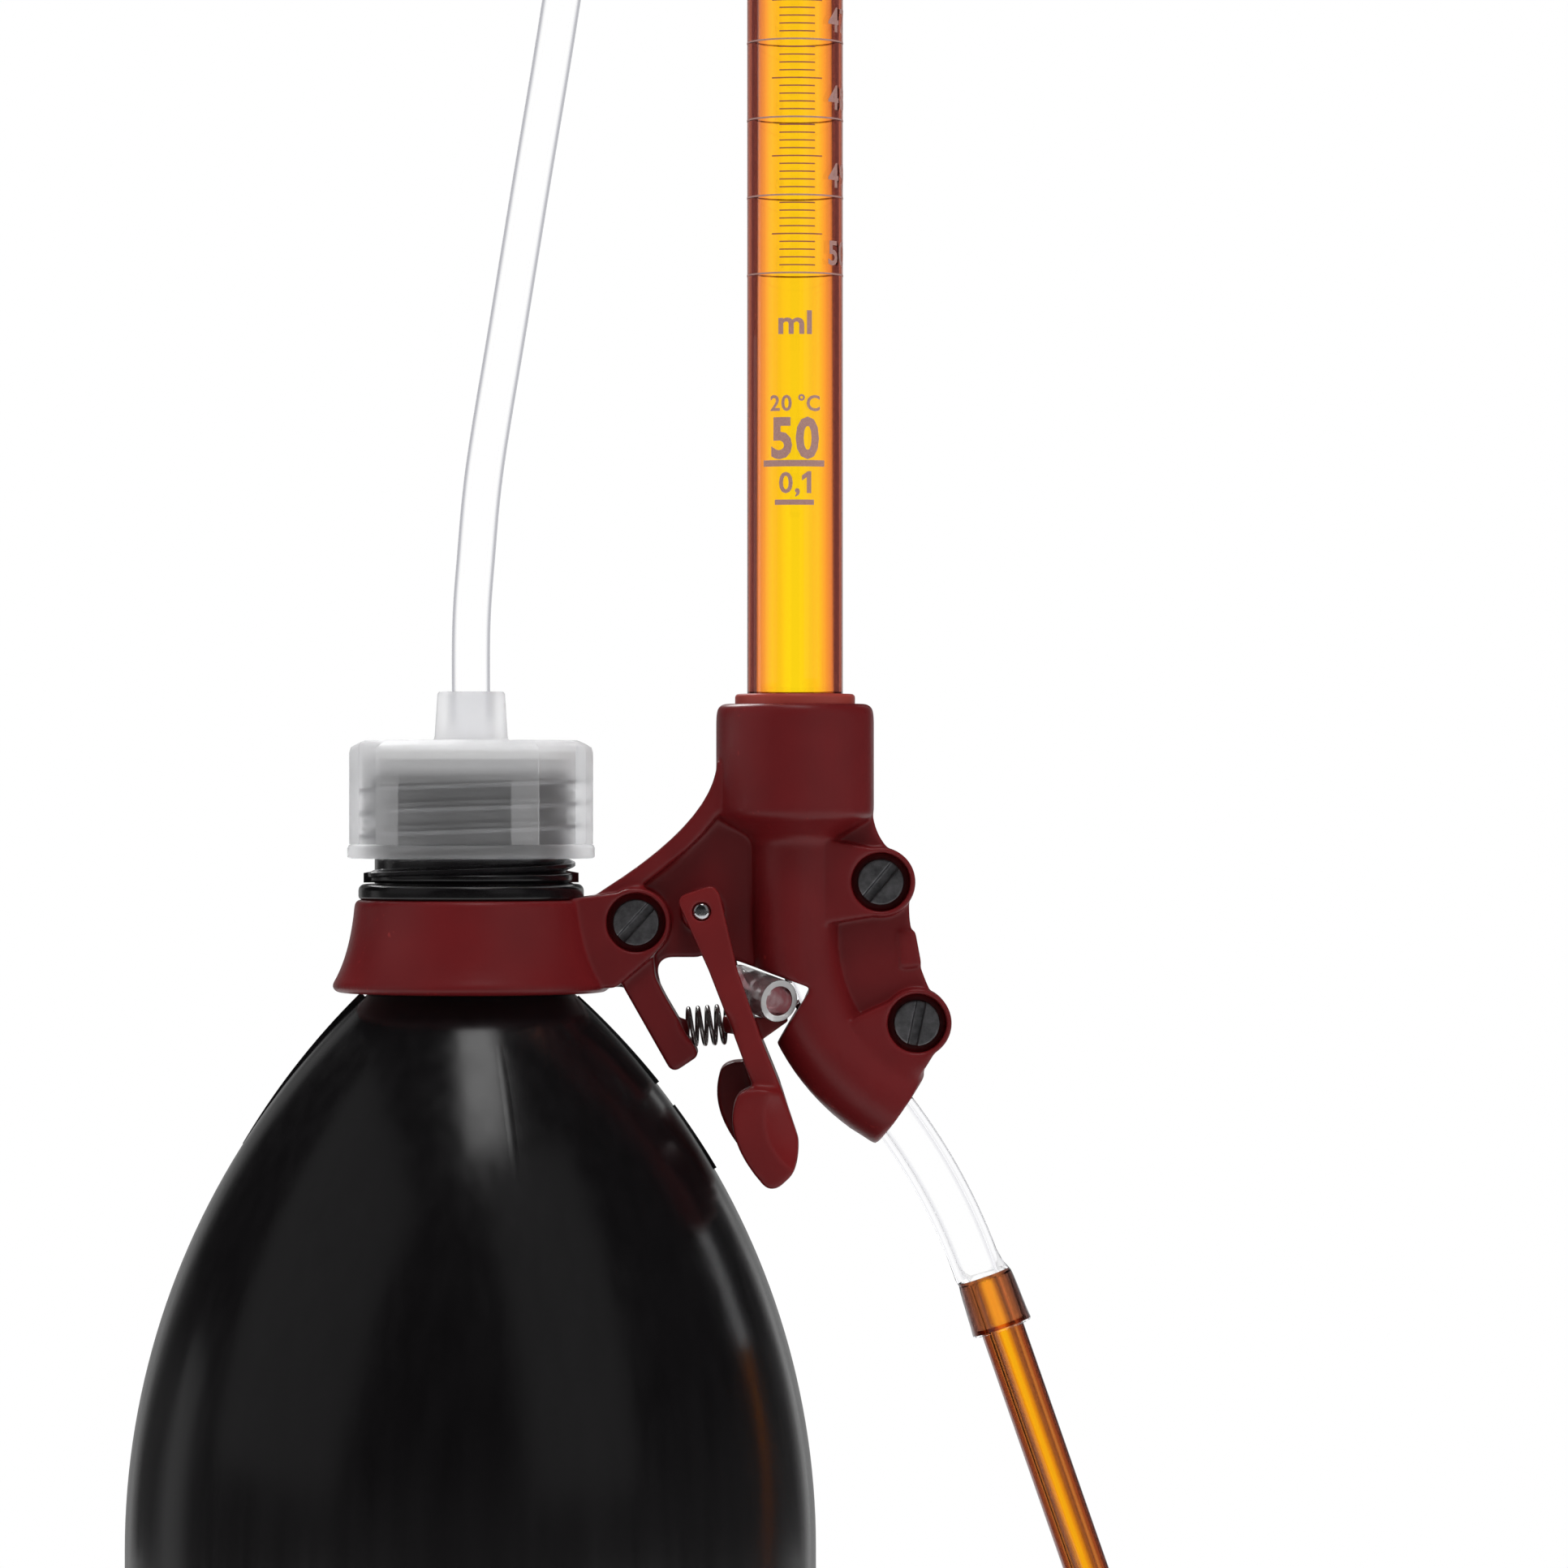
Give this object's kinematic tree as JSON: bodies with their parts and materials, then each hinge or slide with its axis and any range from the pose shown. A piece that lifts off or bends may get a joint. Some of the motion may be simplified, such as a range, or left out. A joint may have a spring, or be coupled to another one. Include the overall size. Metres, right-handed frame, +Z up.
{
  "type": "automatic burette",
  "caption": "Squeeze-bottle automatic burette: black bottle, screw cap with riser hose, clamped red holder with sprung pinch lever, amber graduated glass tube and jet tip.",
  "frame": {"origin": "middle of the bottle's foot, on the surface it stands on", "axes": "+Z up along the bottle and the tube, +X from the bottle's axis to the measuring tube, -Y towards the screw heads and the viewer"},
  "size_m": [0.1393, 0.0936, 0.8666],
  "materials": {
    "black_plastic": "satin",
    "natural_plastic": "satin",
    "liner_foam": "matte",
    "clear_hose": "gloss",
    "clear_silicone": "satin",
    "red_plastic": "satin",
    "red_lever": "satin",
    "red_bush": "satin",
    "dark_steel": "satin",
    "bright_steel": "polished",
    "spring_steel": "satin",
    "amber_glass": "gloss",
    "seal_rubber": "matte"
  },
  "bodies": {
    "stand": {"bottle": "black_plastic", "riser_hose": "clear_hose", "front_holder": "red_plastic", "rear_holder": "red_plastic", "holder_screws": "dark_steel", "holder_nuts": "dark_steel", "tube_bush": "red_bush", "burette_tube": "amber_glass", "filling_head": "red_plastic", "zero_capillary": "amber_glass", "head_seal": "seal_rubber", "lever_pin": "bright_steel", "lever_spring": "spring_steel", "spacer_sleeve": "clear_hose", "outlet_hose": "clear_silicone", "jet_tip": "amber_glass"},
    "dip": {"dip_tube": "natural_plastic", "cap_liner": "liner_foam"},
    "cap": {"screw_cap": "natural_plastic"},
    "lever": {"pinch_lever": "red_lever"}
  },
  "joints": [
    {"name": "lever_swing", "type": "hinge", "parent": "stand", "child": "lever", "pos_m": [0.0314, 0, 0.20053], "axis": [0, 1, 0], "range_deg": [0, 6], "stiffness_Nm_per_rad": 0.2, "springref_deg": -17.19, "deforming": ["lever_spring"]},
    {"name": "cap_lift", "type": "slide", "parent": "stand", "child": "dip", "axis": [0, 0, 1], "range_m": [0, 0.0046]},
    {"name": "cap_turn", "type": "hinge", "parent": "dip", "child": "cap", "pos_m": [0, 0, 0.2156], "axis": [0, 0, 1], "range_deg": [0, 540]}
  ],
  "couplings": [
    {"joint": "cap_lift", "follows": "cap_turn", "m_per_rad": 0.00047746}
  ]
}
